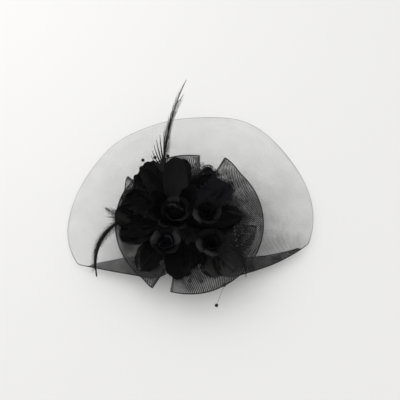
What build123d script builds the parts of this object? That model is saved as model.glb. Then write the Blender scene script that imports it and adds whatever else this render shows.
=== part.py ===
"""Fascinator headpiece: a sheer net brim and crin half rings on a round base, with a fabric flower,
three small blooms, feathers and beaded wires on top, and a sprung hair clip and brooch pin beneath.

Frame, in mm: +Z is the way the flower faces, +Y is up the face and +X is to the wearer's left.
The origin is on the gripping face of the hair clip's upper jaw, at the middle of the base.
"""

import os
from math import cos, radians, sin

from build123d import *

os.makedirs("parts", exist_ok=True)

# Hair clip, lying along X
JAW_END_X = 26.0
JAW_WIDTH = 9.0
JAW_THICK = 0.8
PLATE_RADIUS = 19.0
PLATE_THICK = 0.8
HINGE = (-24.0, -5.5)  # x and z of the clip's hinge axis
HINGE_PIN_RADIUS = 0.8
RUNNING_GAP = 0.05  # radial clearance of a turning eye on its pin
FIXED_GAP = 0.02  # radial clearance of a pin in the ears that hold it
FORK_WIDTH = 7.0
FORK_SLOT = 3.0
FORK_THICK = 0.7

# Brooch pin, beside the clip
PIN_LINE = (12.0, -3.2)  # y and z of the needle
PIN_HINGE_X = 13.0
CATCH_X = -12.0
NEEDLE_RADIUS = 0.45
RIVET_RADIUS = 0.5

# Base and brim, which share one gentle dome
DOME = 560.0
BASE_RADIUS = 44.0
FELT_RADIUS = 41.0
FELT_THICK = 1.2
BASE_THICK = 1.8
VEIL_APEX = (7.0, 8.0)
VEIL_THICK = 0.8
VEIL_BOTTOM = 6.0  # underside of the net at the top of its dome
HEM = 1.5  # how far the rolled hem stands out from the net, and its thickness
FOLD_THICK = 1.8  # the turned-under net, which lies beneath the front

# Crin half rings, which rise like a saucer
CRIN_CENTRE = (2.0, 3.0)
CRIN_RADIUS = 87.0
CRIN_GATHER = 12.0
CRIN_THICK = 0.8
CRIN_LEVELS = (7.1, 8.1, 9.1)  # undersides of the layers at the middle
SAUCER = 500.0
CORD = 1.4

# Main flower and its petals
FLOWER = (-13.5, 8.5)
CORE_RADIUS = 9.0
CORE_BOTTOM, CORE_TOP = 11.2, 36.0
PETAL_THICK = 0.7
PETAL_GAP = 0.9  # from the core to the outer face of a petal's root
BLOOMS = {  # name: middle, underside of the bud, turn of its petals in degrees
    "bloom_left": ((-24.5, -26.0), 12.6, 20),
    "bloom_right": ((27.5, -26.0), 12.6, 50),
    "bloom_top": ((23.0, 8.0), 23.0, 64),
}
BUD_RADIUS = 6.8
BUD_HEIGHT = 15.5
CUP_HEIGHT = 4.5  # of the roots of a bloom's petals over the underside of its bud

# Beads on wires
BEAD_RADIUS = 1.9
WIRE_RADIUS = 0.3

PRISM_BOTTOM, PRISM_HEIGHT = -25.0, 75.0  # a tall block that every curved sheet is cut from


def save(piece, name):
    """Labels a finished piece and writes its file."""
    piece.part.label = name
    export_step(piece.part, f"parts/{name}.step")


def dome_sheet(bottom, thick, apex=(0.0, 0.0)):
    """Keeps of the open part only a sheet of that thickness, domed upwards around the apex."""
    with Locations((apex[0], apex[1], bottom - DOME)):
        Sphere(DOME + thick, rotation=(90, 0, 0), mode=Mode.INTERSECT)
        Sphere(DOME, rotation=(90, 0, 0), mode=Mode.SUBTRACT)


def saucer_sheet(bottom, thick, radius=SAUCER, at=CRIN_CENTRE):
    """Keeps of the open part only a sheet of that thickness, dished upwards around a point."""
    with Locations((at[0], at[1], bottom + radius)):
        Sphere(radius, rotation=(90, 0, 0), mode=Mode.INTERSECT)
        Sphere(radius - thick, rotation=(90, 0, 0), mode=Mode.SUBTRACT)


def on_crin(radius, angle):
    """A point at that radius and angle, in degrees, around the middle of the crin rings."""
    return (
        CRIN_CENTRE[0] + radius * cos(radians(angle)),
        CRIN_CENTRE[1] + radius * sin(radians(angle)),
    )


# ---------------------------------------------------------------- hair clip


def make_clip_plate():
    with BuildPart() as clip_plate:
        with BuildSketch(Plane.XY.offset(JAW_THICK)):
            Circle(PLATE_RADIUS)
        extrude(amount=PLATE_THICK)
        chamfer(clip_plate.edges(), 0.2)
    save(clip_plate, "clip_plate")


def make_clip_upper_jaw():
    hinge_x, hinge_z = HINGE
    ear_radius, ear_thick = 2.2, 0.8
    with BuildPart() as clip_upper_jaw:
        with BuildSketch():
            with Locations((hinge_x, 0)):
                Rectangle(
                    JAW_END_X - hinge_x - JAW_WIDTH / 2,
                    JAW_WIDTH,
                    align=(Align.MIN, Align.CENTER),
                )
            with Locations((JAW_END_X - JAW_WIDTH / 2, 0)):
                Circle(JAW_WIDTH / 2)
        extrude(amount=JAW_THICK)
        ear_plane = Plane.XZ.offset(-JAW_WIDTH / 2)  # its normal is -Y
        with BuildSketch(ear_plane):
            with Locations((hinge_x, hinge_z)):
                Circle(ear_radius)
            with Locations((hinge_x, hinge_z / 2 + JAW_THICK / 2)):
                Rectangle(2 * ear_radius, JAW_THICK - hinge_z)
        extrude(amount=ear_thick)
        mirror(about=Plane.XZ)
        with BuildSketch(Plane.XZ):
            with Locations((hinge_x, hinge_z)):
                Circle(HINGE_PIN_RADIUS + FIXED_GAP)
        extrude(amount=JAW_WIDTH, both=True, mode=Mode.SUBTRACT)
    save(clip_upper_jaw, "clip_upper_jaw")


def make_clip_hinge_pin():
    head_radius, head_thick, head_gap = 1.2, 0.4, 0.03
    half = JAW_WIDTH / 2 + head_gap
    with BuildPart() as clip_hinge_pin:
        with BuildSketch(Plane.XZ.offset(-half)):
            with Locations(HINGE):
                Circle(HINGE_PIN_RADIUS)
        extrude(amount=2 * half)
        for side in (-half - head_thick, half):
            with BuildSketch(Plane.XZ.offset(side)):
                with Locations(HINGE):
                    Circle(head_radius)
            extrude(amount=head_thick)
    save(clip_hinge_pin, "clip_hinge_pin")


def make_clip_fork():
    """The lower jaw: two prongs that reach from the thumb tab, past the pin, to the tips."""
    hinge_x, hinge_z = HINGE
    tab_end = (hinge_x - 11.5, hinge_z - 4.5)
    tip = (JAW_END_X - 1.5, -0.15)
    slot_from = hinge_x - 4.0
    eye_radius = 1.7
    with BuildPart() as clip_fork:
        with BuildSketch(Plane.XZ):
            with BuildLine():
                Polyline(
                    tab_end,
                    (hinge_x, hinge_z),
                    (tip[0] - 3.0, -1.5 * FORK_THICK),
                    (tip[0], tip[1] - FORK_THICK),
                    (tip[0], tip[1]),
                    (tip[0] - 3.0, -0.5 * FORK_THICK),
                    (hinge_x, hinge_z + FORK_THICK),
                    (tab_end[0], tab_end[1] + FORK_THICK),
                    close=True,
                )
            make_face()
        extrude(amount=FORK_WIDTH / 2, both=True)
        with BuildSketch(Plane.XZ):
            with Locations(HINGE):
                Circle(eye_radius)
        extrude(amount=FORK_WIDTH / 2, both=True)
        with BuildSketch(Plane.XZ):
            with Locations(HINGE):
                Circle(HINGE_PIN_RADIUS + RUNNING_GAP)
        extrude(amount=FORK_WIDTH, both=True, mode=Mode.SUBTRACT)
        with BuildSketch(Plane.XY.offset(-15)):
            with Locations((slot_from, 0)):
                Rectangle(60, FORK_SLOT, align=(Align.MIN, Align.CENTER))
        extrude(amount=16, mode=Mode.SUBTRACT)
    save(clip_fork, "clip_fork")


def make_clip_spring():
    """A torsion spring round the hinge pin, with one leg on each jaw."""
    hinge_x, hinge_z = HINGE
    wire, coil, pitch, turns = 0.3, 1.5, 0.7, 3
    half = turns * pitch / 2
    with BuildPart() as clip_spring:
        with BuildLine():
            turn = Helix(pitch, turns * pitch, coil, (hinge_x, -half, hinge_z), (0, 1, 0))
        with BuildSketch(Plane(turn @ 0, z_dir=turn % 0)):
            Circle(wire)
        sweep(is_frenet=True)
        for end, leg in ((turn @ 0, Vector(-8.0, 0, -3.2)), (turn @ 1, Vector(9.0, 0, 3.3))):
            inside_coil = end - leg.normalized() * wire
            with BuildSketch(Plane(inside_coil, z_dir=leg)):
                Circle(0.95 * wire)
            extrude(amount=leg.length)
    save(clip_spring, "clip_spring")


# ---------------------------------------------------------------- brooch pin


def make_brooch_hinge_bracket():
    line_y, line_z = PIN_LINE
    half, wall = 2.0, 0.7
    with BuildPart() as brooch_hinge_bracket:
        with BuildSketch(Plane.XY.offset(0.1)):
            with Locations((PIN_HINGE_X, line_y)):
                Rectangle(4.0, 2 * half)
        extrude(amount=JAW_THICK - 0.1)
        for side in (line_y - half, line_y + half - wall):
            with BuildSketch(Plane.XZ.offset(-side - wall)):
                with Locations((PIN_HINGE_X, line_z)):
                    Circle(1.5)
                with Locations((PIN_HINGE_X, line_z / 2 + 0.2)):
                    Rectangle(3.0, 0.4 - line_z)
            extrude(amount=wall)
        with BuildSketch(Plane.XZ):
            with Locations((PIN_HINGE_X, line_z)):
                Circle(RIVET_RADIUS + FIXED_GAP)
        extrude(amount=-2 * line_y, mode=Mode.SUBTRACT)
    save(brooch_hinge_bracket, "brooch_hinge_bracket")


def make_brooch_rivet():
    line_y, line_z = PIN_LINE
    half = 2.4
    with BuildPart() as brooch_rivet:
        with BuildSketch(Plane.XZ.offset(-line_y - half)):
            with Locations((PIN_HINGE_X, line_z)):
                Circle(RIVET_RADIUS)
        extrude(amount=2 * half)
    save(brooch_rivet, "brooch_rivet")


def make_brooch_needle():
    """The needle and its eye; it swings down out of the catch."""
    line_y, line_z = PIN_LINE
    eye_radius, eye_half = 1.25, 0.9
    point, taper = CATCH_X - 3.6, 4.0
    with BuildPart() as brooch_needle:
        with BuildSketch(Plane.XZ.offset(-line_y - eye_half)):
            with Locations((PIN_HINGE_X, line_z)):
                Circle(eye_radius)
        extrude(amount=2 * eye_half)
        with BuildSketch(Plane.XZ.offset(-line_y)):
            with BuildLine():
                Polyline(
                    (PIN_HINGE_X - 0.9, line_z),
                    (PIN_HINGE_X - 0.9, line_z + NEEDLE_RADIUS),
                    (point + taper, line_z + NEEDLE_RADIUS),
                    (point, line_z + 0.08),
                    (point, line_z),
                    close=True,
                )
            make_face()
        revolve(axis=Axis((0, line_y, line_z), (1, 0, 0)))
        with BuildSketch(Plane.XZ):
            with Locations((PIN_HINGE_X, line_z)):
                Circle(RIVET_RADIUS + RUNNING_GAP)
        extrude(amount=-2 * line_y, mode=Mode.SUBTRACT)
    save(brooch_needle, "brooch_needle")


def make_brooch_catch():
    """A slotted housing on the plate, and the slotted barrel that turns in it to lock the needle."""
    line_y, line_z = PIN_LINE
    length, slot = 3.0, 1.3
    wall_outer, wall_inner = 2.2, 1.5
    barrel_outer, barrel_inner = wall_inner - RUNNING_GAP, 0.65
    ends = Plane.YZ.offset(CATCH_X - length / 2)
    flange_gap, flange_thick, flange_radius = 0.1, 0.7, 2.1

    with BuildPart() as brooch_catch_housing:
        with BuildSketch(ends):
            with Locations(PIN_LINE):
                Circle(wall_outer)
            with Locations((line_y, (line_z + JAW_THICK) / 2)):
                Rectangle(2 * wall_inner, JAW_THICK - line_z)
            with Locations(PIN_LINE):
                Circle(wall_inner, mode=Mode.SUBTRACT)
                Rectangle(slot, 2 * wall_outer, align=(Align.CENTER, Align.MAX), mode=Mode.SUBTRACT)
        extrude(amount=length)
    save(brooch_catch_housing, "brooch_catch_housing")

    with BuildPart() as brooch_catch_barrel:
        with BuildSketch(ends):
            with Locations(PIN_LINE):
                Circle(barrel_outer)
        extrude(amount=length)
        with BuildSketch(ends.offset(-flange_gap - flange_thick)):
            with Locations(PIN_LINE):
                Circle(flange_radius)
            with Locations((line_y + flange_radius, line_z)):
                SlotOverall(3.2, 1.2)
        extrude(amount=flange_thick)
        with BuildSketch(ends.offset(-flange_gap)):
            with Locations(PIN_LINE):
                Circle(barrel_outer)
        extrude(amount=flange_gap)
        with BuildSketch(ends.offset(-2)):
            with Locations(PIN_LINE):
                Circle(barrel_inner)
                Rectangle(slot - 0.1, 2 * wall_outer, align=(Align.CENTER, Align.MAX))
        extrude(amount=length + 4, mode=Mode.SUBTRACT)
    save(brooch_catch_barrel, "brooch_catch_barrel")


# ---------------------------------------------------------------- base


def make_base():
    felt_bottom = JAW_THICK + PLATE_THICK + PLATE_RADIUS**2 / (2 * DOME)
    for name, radius, bottom, thick in (
        ("felt_backing", FELT_RADIUS, felt_bottom, FELT_THICK),
        ("base_disc", BASE_RADIUS, felt_bottom + FELT_THICK + 0.05, BASE_THICK),
    ):
        with BuildPart() as base_layer:
            with BuildSketch(Plane.XY.offset(PRISM_BOTTOM)):
                Circle(radius)
            extrude(amount=PRISM_HEIGHT)
            dome_sheet(bottom, thick)
        save(base_layer, name)


# ---------------------------------------------------------------- net brim

RIM = (  # the free edge of the net, from the left corner over the top to the right corner
    (-130, -41),
    (-146, 1),
    (-134, 58),
    (-84, 126),
    (-6, 155),
    (65, 153),
    (130, 95),
    (152, 17),
    (144, -16),
)
NOTCH = (-9, -44)  # where the lower edge is drawn up to the base
FOLD_RIGHT = ((102, -42), (50, -60), (22, -54))
FOLD_LEFT = ((-24, -56), (-42, -61), (-85, -52))


def veil_outline(grow=0.0):
    """The brim's outline seen from the front, with every point moved outwards by grow."""

    def moved(point):
        return Vector(*point) * (1 + grow / Vector(*point).length)

    rim = [moved(point) for point in RIM]
    right, right_end, right_low = (moved(point) for point in FOLD_RIGHT)
    left_low, left_end, left = (moved(point) for point in FOLD_LEFT)
    notch = moved(NOTCH)
    with BuildSketch() as outline:
        with BuildLine():
            Spline(*rim)
            ThreePointArc(rim[-1], right, right_end)
            ThreePointArc(right_end, right_low, notch)
            ThreePointArc(notch, left_low, left_end)
            ThreePointArc(left_end, left, rim[0])
        make_face()
    return outline.sketch


def turned_under_left():
    """The strip of net folded behind the left half of the lower edge."""
    with BuildSketch() as strip:
        with BuildLine():
            ThreePointArc((-24, -53.5), (-32, -57.5), (-42, -59.8))
            ThreePointArc((-42, -59.8), (-85, -51), (-122, -42))
            Spline((-122, -42), (-78, -36), (-46, -30))
            Line((-46, -30), (-24, -53.5))
        make_face()
    return strip.sketch


def turned_under_right():
    """The strip of net folded behind the right half of the lower edge."""
    with BuildSketch() as strip:
        with BuildLine():
            ThreePointArc((134, -20), (92, -45), (28, -54))
            Line((28, -54), (46, -37))
            Spline((46, -37), (88, -33), (134, -20))
        make_face()
    return strip.sketch


def make_veil():
    with BuildPart() as veil:
        with BuildSketch(Plane.XY.offset(PRISM_BOTTOM)):
            add(veil_outline())
        extrude(amount=PRISM_HEIGHT)
        dome_sheet(VEIL_BOTTOM, VEIL_THICK, VEIL_APEX)
        for strip in (turned_under_left(), turned_under_right()):
            with BuildPart(mode=Mode.PRIVATE) as fold:
                with BuildSketch(Plane.XY.offset(PRISM_BOTTOM)):
                    add(strip)
                extrude(amount=PRISM_HEIGHT)
                dome_sheet(VEIL_BOTTOM - FOLD_THICK, FOLD_THICK + VEIL_THICK / 2, VEIL_APEX)
            add(fold.part)
    save(veil, "veil")


def make_veil_hem():
    with BuildPart() as veil_hem:
        with BuildSketch(Plane.XY.offset(PRISM_BOTTOM)):
            add(veil_outline(HEM))
        extrude(amount=PRISM_HEIGHT)
        dome_sheet(VEIL_BOTTOM + 0.1, HEM, VEIL_APEX)
        with BuildSketch(Plane.XY.offset(PRISM_BOTTOM)):
            add(veil_outline(0.5))
        extrude(amount=PRISM_HEIGHT, mode=Mode.SUBTRACT)
    save(veil_hem, "veil_hem")


# ---------------------------------------------------------------- crin rings


def crin_outline(outer, start, size, inner, inner_start, inner_size):
    """A length of braid curved into part of a ring; its cut ends needn't point at the middle."""
    with BuildSketch() as outline:
        with BuildLine():
            CenterArc(CRIN_CENTRE, outer, start, size)
            Line(on_crin(outer, start + size), on_crin(inner, inner_start + inner_size))
            CenterArc(CRIN_CENTRE, inner, inner_start, inner_size)
            Line(on_crin(inner, inner_start), on_crin(outer, start))
        make_face()
    return outline.sketch


CRIN = {  # name: outer radius, outer start and size, inner start and size (degrees), level
    "crin_top": (CRIN_RADIUS, 82, 86, 15, 145, 0),
    "crin_left": (CRIN_RADIUS, 142, 101, 150, 118, 2),
    "crin_right": (CRIN_RADIUS, -104, 167, -150, 250, 1),
    "crin_tab": (79.0, -50, 46, -60, 70, 2),
}


def make_crin():
    for name, (outer, start, size, inner_start, inner_size, level) in CRIN.items():
        with BuildPart() as crin:
            with BuildSketch(Plane.XY.offset(PRISM_BOTTOM)):
                add(crin_outline(outer, start, size, CRIN_GATHER, inner_start, inner_size))
            extrude(amount=PRISM_HEIGHT)
            saucer_sheet(CRIN_LEVELS[level], CRIN_THICK)
        save(crin, name)


def make_crin_edge_cords():
    with BuildPart() as crin_edge_cords:
        for name in ("crin_top", "crin_left", "crin_right"):
            outer, start, size, _, _, level = CRIN[name]
            inside, outside = outer + 0.05, outer + CORD
            with BuildPart(mode=Mode.PRIVATE) as cord:
                with BuildSketch(Plane.XY.offset(PRISM_BOTTOM)):
                    add(crin_outline(outside, start, size, inside, start, size))
                extrude(amount=PRISM_HEIGHT)
                saucer_sheet(CRIN_LEVELS[level] - 0.02, CRIN_THICK + 0.1)
            add(cord.part)
    save(crin_edge_cords, "crin_edge_cords")


# ---------------------------------------------------------------- flowers


def petal_outline(length, width, root):
    """A petal from its root at the origin to its round tip on +X."""
    with BuildSketch() as outline:
        with BuildLine():
            Spline(
                (0, root / 2),
                (0.62 * length, width / 2),
                (length, 0),
                tangents=((1, 0.25), (0, -1)),
            )
            Line((0, 0), (0, root / 2))
            mirror(about=Plane.XZ)
        make_face()
    return outline.sketch


def petal_solid(plane, length, width, root, cup):
    """A thin petal, dished upwards, that grows along the plane's X axis from its origin."""
    half_block = 15
    with BuildPart(plane, mode=Mode.PRIVATE) as petal:
        with BuildSketch(plane.offset(-half_block)):
            add(petal_outline(length, width, root))
        extrude(amount=2 * half_block)
        with Locations((0, 0, cup)):
            Sphere(cup, rotation=(90, 0, 0), mode=Mode.INTERSECT)
            Sphere(cup - PETAL_THICK, rotation=(90, 0, 0), mode=Mode.SUBTRACT)
    return petal


def petal_plane(centre, radius, height, angle, tilt):
    """The plane of a petal that leaves a round core at that height, angle and tilt, in degrees."""
    out = Vector(cos(radians(angle)), sin(radians(angle)), 0)
    grow = out * cos(radians(tilt)) + Vector(0, 0, sin(radians(tilt)))
    face = out * -sin(radians(tilt)) + Vector(0, 0, cos(radians(tilt)))
    root = Vector(centre[0], centre[1], height) + out * (radius + PETAL_GAP)
    return Plane(origin=root, x_dir=grow, z_dir=face)


OUTER_TIERS = (14.6, 17.2)  # heights of the outer petals' roots, in turn
OUTER_DISH = 400
OUTER_PETALS = [  # angle, length, width
    (1, 63, 25),
    (30, 65, 27),
    (57, 64, 25),
    (80, 63, 24),
    (100, 62, 24),
    (119, 67, 24),
    (138, 56, 23),
    (157, 55, 24),
    (181, 62, 26),
    (204, 60, 26),
]
MIDDLE_TIER = 23.5
MIDDLE_PETALS = [  # angle, tilt, length, width, radius of its dish
    (91, 8, 60, 27, 400),
    (147, 38, 34, 19, 90),
    (192, 38, 34, 19, 90),
    (236, 50, 30, 15, 90),
    (282, 50, 30, 15, 90),
    (50, 32, 32, 19, 90),
]
INNER_TIER = 28.0
INNER_ANGLES = [30 + 72 * i for i in range(5)]


def make_main_flower():
    with BuildPart() as flower_core:
        with BuildSketch(Plane.XY.offset(CORE_BOTTOM)):
            with Locations(FLOWER):
                Circle(CORE_RADIUS)
        extrude(amount=CORE_TOP - CORE_BOTTOM)
        fillet(flower_core.edges().sort_by(Axis.Z)[-1], 2.0)
    save(flower_core, "flower_core")

    with BuildPart() as flower_centre:
        with BuildSketch(Plane.XY.offset(CORE_TOP + 0.05)):
            with Locations(FLOWER):
                Circle(CORE_RADIUS - 3.0)
        extrude(amount=5.0)
        fillet(flower_centre.edges().sort_by(Axis.Z)[-1], 4.0)
    save(flower_centre, "flower_centre")

    for number, (angle, length, width) in enumerate(OUTER_PETALS, 1):
        plane = petal_plane(FLOWER, CORE_RADIUS, OUTER_TIERS[(number - 1) % 2], angle, 0)
        save(petal_solid(plane, length, width, 5, OUTER_DISH), f"outer_petal_{number}")
    for number, (angle, tilt, length, width, dish) in enumerate(MIDDLE_PETALS, 1):
        plane = petal_plane(FLOWER, CORE_RADIUS, MIDDLE_TIER, angle, tilt)
        save(petal_solid(plane, length, width, 5.5, dish), f"middle_petal_{number}")
    for number, angle in enumerate(INNER_ANGLES, 1):
        plane = petal_plane(FLOWER, CORE_RADIUS, INNER_TIER, angle, 65)
        save(petal_solid(plane, 21, 15, 7.5, 60), f"inner_petal_{number}")


def make_bloom(name, centre, bottom, turn):
    """A small cup-shaped bloom: a bud and five upright petals."""
    with BuildPart() as bud:
        with BuildSketch(Plane.XY.offset(bottom)):
            with Locations(centre):
                Circle(BUD_RADIUS)
        extrude(amount=BUD_HEIGHT)
        fillet(bud.edges().sort_by(Axis.Z)[-1], 4.0)
    save(bud, f"{name}_bud")

    with BuildPart() as petals:
        for step in range(5):
            plane = petal_plane(centre, BUD_RADIUS, bottom + CUP_HEIGHT, turn + 72 * step, 52)
            add(petal_solid(plane, 19, 14.5, 6.0, 45).part)
    save(petals, f"{name}_petals")


LOWER_PETALS = {  # name: root, tip, width
    "lower_petal_1": ((-10, -18, 12.6), (-14, -67, 15.4), 23),
    "lower_petal_2": ((9, -22, 14.2), (7, -60, 16.8), 21),
    "organza_petal_1": ((-37, -14, 12.9), (-52, -58, 17.4), 24),
    "organza_petal_2": ((43, -16, 12.9), (60, -58, 17.4), 22),
}


def make_lower_petals():
    root = 5
    for name, (start, end, width) in LOWER_PETALS.items():
        run = Vector(*end) - Vector(*start)
        side = Vector(0, 0, 1).cross(run)
        plane = Plane(origin=start, x_dir=run, z_dir=run.cross(side))
        with BuildPart() as lower_petal:
            with BuildSketch(plane):
                add(petal_outline(run.length, width, root))
            extrude(amount=PETAL_THICK)
        save(lower_petal, name)


def make_lace_tufts():
    """Two scraps of lace, one behind the top petals and one at the right of the flower."""
    with BuildPart() as lace_tufts:
        with BuildSketch(Plane.XY.offset(14.6)):
            with Locations((13, 70)):
                Ellipse(12, 9)
        extrude(amount=0.8)
        with BuildSketch(Plane.XY.offset(16.6)):
            with Locations((60, -14)):
                Ellipse(6.5, 17)
        extrude(amount=0.8)
    save(lace_tufts, "lace_tufts")


# ---------------------------------------------------------------- beads and feathers

BEADED_WIRES = (  # each wire's points, with a bead at every point after the first
    ((-36, 56, 24.5), (-54, 77, 28.0)),
    ((-31, 60, 24.5), (-39.5, 80.5, 28.0)),
    ((-14, 56, 24.5), (-24, 81.5, 30.0)),
    ((-40, -36, 18.8), (-54, -56, 20.8)),
    ((4, -40, 17.8), (1.5, -64.5, 19.4)),
    ((9, -40, 17.8), (13.5, -65, 19.4)),
    ((38, -38, 18.4), (42, -75, 20.2), (33, -97, 14.0)),
)


def make_beads_and_wires():
    clear = BEAD_RADIUS + 0.05
    with BuildPart() as beads:
        for points in BEADED_WIRES:
            with Locations(*points[1:]):
                Sphere(BEAD_RADIUS)
    save(beads, "beads")

    with BuildPart() as bead_wires:
        for points in BEADED_WIRES:
            for index, (start, end) in enumerate(zip(points, points[1:])):
                run = Vector(*end) - Vector(*start)
                skip = clear if index else 0.0  # a wire that goes on starts at its bead's skin
                direction = run.normalized()
                with BuildSketch(Plane(Vector(*start) + direction * skip, z_dir=direction)):
                    Circle(WIRE_RADIUS)
                extrude(amount=run.length - clear - skip)
    save(bead_wires, "bead_wires")


FEATHERS = {  # name: quill root, a point half way, tip, half width of the vane
    "feather_tall": ((-28, 62, 26.5), (-23, 120, 28.5), (-2, 186, 31.0), 6.0),
    "feather_curl_left": ((-64, 9, 21.6), (-97, -16, 20.8), (-102, -65, 20.0), 5.5),
    "feather_short_left": ((-66, 0, 24.0), (-80, 6, 24.0), (-98, 19, 24.0), 5.0),
    "feather_tip_right": ((46, 12, 25.2), (58, 9, 25.2), (72, 3, 25.2), 4.0),
    "feather_lower_right": ((50, -24, 19.6), (61, -42, 19.6), (66, -66, 19.6), 4.0),
}


def make_feathers():
    """Each feather lies in one plane: a curved quill with a thin vane on both sides."""
    quill, vane_thick = 0.55, 0.5
    for name, (root, middle, tip, half) in FEATHERS.items():
        root, middle, tip = Vector(*root), Vector(*middle), Vector(*tip)
        across = (tip - root).cross(Vector(0, 0, 1)).normalized()
        plane = Plane(origin=root, x_dir=tip - root, z_dir=across.cross(tip - root))
        bend = plane.to_local_coords(middle)
        length = (tip - root).length
        with BuildPart() as feather:
            with BuildSketch(plane):
                with BuildLine():
                    ThreePointArc((0, 0), (bend.X, bend.Y + half), (length, 0))
                    ThreePointArc((length, 0), (bend.X, bend.Y - half), (0, 0))
                make_face()
            extrude(amount=vane_thick / 2, both=True)
            with BuildLine(plane):
                rib = ThreePointArc((0, 0), (bend.X, bend.Y), (length, 0))
            with BuildSketch(Plane(rib @ 0, z_dir=rib % 0)):
                Circle(quill)
            sweep()
        save(feather, name)


def main():
    make_clip_plate()
    make_clip_upper_jaw()
    make_clip_hinge_pin()
    make_clip_fork()
    make_clip_spring()
    make_brooch_hinge_bracket()
    make_brooch_rivet()
    make_brooch_needle()
    make_brooch_catch()
    make_base()
    make_veil()
    make_veil_hem()
    make_crin()
    make_crin_edge_cords()
    make_main_flower()
    for name, (centre, bottom, turn) in BLOOMS.items():
        make_bloom(name, centre, bottom, turn)
    make_lower_petals()
    make_lace_tufts()
    make_beads_and_wires()
    make_feathers()


main()
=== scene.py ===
"""The looks of the fascinator headpiece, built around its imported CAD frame, in metres or stated mm."""

import random
from math import atan2, copysign, cos, exp, hypot, pi, radians, remainder, sin, tau

import bpy
import numpy as np
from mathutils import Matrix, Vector, noise
from mathutils.bvhtree import BVHTree


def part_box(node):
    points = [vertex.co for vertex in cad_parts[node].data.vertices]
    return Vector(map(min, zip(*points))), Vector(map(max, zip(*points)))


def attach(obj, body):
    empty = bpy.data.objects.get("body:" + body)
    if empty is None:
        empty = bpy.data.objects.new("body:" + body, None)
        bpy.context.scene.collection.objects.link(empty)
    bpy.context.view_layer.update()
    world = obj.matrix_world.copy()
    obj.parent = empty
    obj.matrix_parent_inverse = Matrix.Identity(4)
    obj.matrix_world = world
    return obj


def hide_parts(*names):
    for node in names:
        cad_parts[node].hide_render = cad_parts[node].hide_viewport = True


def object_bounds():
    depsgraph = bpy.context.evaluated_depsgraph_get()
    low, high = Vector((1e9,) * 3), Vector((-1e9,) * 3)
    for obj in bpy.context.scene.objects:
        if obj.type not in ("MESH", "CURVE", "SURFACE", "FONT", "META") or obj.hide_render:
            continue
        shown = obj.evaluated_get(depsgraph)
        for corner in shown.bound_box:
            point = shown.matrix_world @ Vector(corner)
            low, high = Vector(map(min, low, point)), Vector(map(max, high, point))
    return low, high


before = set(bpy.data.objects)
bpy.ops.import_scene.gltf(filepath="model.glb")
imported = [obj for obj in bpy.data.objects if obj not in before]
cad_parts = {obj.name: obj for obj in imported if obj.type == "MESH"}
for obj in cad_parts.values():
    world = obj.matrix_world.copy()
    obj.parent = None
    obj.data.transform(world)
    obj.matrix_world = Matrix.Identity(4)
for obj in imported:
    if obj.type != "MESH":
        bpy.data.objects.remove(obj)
CAD_BOX = [[float(x) for x in corner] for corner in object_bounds()]
MM = 0.001
UP = Vector((0, 0, 1))
AXIS = Vector((0, 0, 0))  # the upright line through the middle of the base
FLOOR = CAD_BOX[0][2]


# ---------- objects and camera


def put(name, data):
    """A new object in the scene."""
    thing = bpy.data.objects.new(name, data)
    bpy.context.collection.objects.link(thing)
    return thing


def aim(thing, place, way):
    """Puts a camera or a light at a place and turns it to look that way."""
    thing.location = place
    thing.rotation_euler = way.to_track_quat("-Z", "Y").to_euler()


def make_camera():
    elevation, distance = radians(68), 0.9
    target = Vector((0.0144, 0.0336, 0.008))
    back = Vector((0, -cos(elevation), sin(elevation)))
    data = bpy.data.cameras.new("camera")
    data.sensor_width, data.lens = 36, 67.5
    camera = put("camera", data)
    aim(camera, target + distance * back, -back)
    bpy.context.scene.camera = camera


# ---------- reading the frame


def points_of(node):
    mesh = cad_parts[node].data
    return np.array([v.co[:] for v in mesh.vertices])


def middle(node):
    low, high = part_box(node)
    return Vector([(a + b) / 2 for a, b in zip(low, high)])


def half_width(node):
    low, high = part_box(node)
    return (high[0] - low[0]) / 2


def islands(node):
    """The points of each separate solid in a node."""
    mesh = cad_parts[node].data
    places = [tuple(round(c, 5) for c in v.co) for v in mesh.vertices]
    parent = {p: p for p in places}

    def top(p):
        while parent[p] != p:
            parent[p] = parent[parent[p]]
            p = parent[p]
        return p

    for face in mesh.polygons:
        first, *others = [places[i] for i in face.vertices]
        for other in others:
            parent[top(other)] = top(first)
    groups = {}
    for p in parent:
        groups.setdefault(top(p), []).append(p)
    return [np.array(g) for _, g in sorted(groups.items())]


def petal_lie(points, centre):
    """Root, tip and width of a petal solid that grows away from the middle of its bloom."""
    away = np.hypot(points[:, 0] - centre.x, points[:, 1] - centre.y)
    root = points[away < away.min() + 0.8 * MM].mean(axis=0)
    reach = np.linalg.norm(points - root, axis=1)
    tip = points[reach > reach.max() - 0.4 * MM].mean(axis=0)
    root, tip = Vector(root), Vector(tip)
    side = UP.cross(tip - root).normalized()
    across = points @ np.array(side)
    return root, tip, across.max() - across.min()


def spine(points, near):
    """Root, middle and tip of a long thin solid, with its root at the end nearer to a point."""
    ends = [points[np.argmax(np.linalg.norm(points - points.mean(axis=0), axis=1))]]
    ends.append(points[np.argmax(np.linalg.norm(points - ends[0], axis=1))])
    ends.sort(key=lambda p: np.linalg.norm(p - np.array(near)))
    along = (points - ends[0]) @ (ends[1] - ends[0]) / np.sum((ends[1] - ends[0]) ** 2)
    half_way = points[np.abs(along - 0.5) < 0.06]
    if not len(half_way):
        half_way = np.array(ends)
    return Vector(ends[0]), Vector((half_way.min(axis=0) + half_way.max(axis=0)) / 2), Vector(ends[1])


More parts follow.
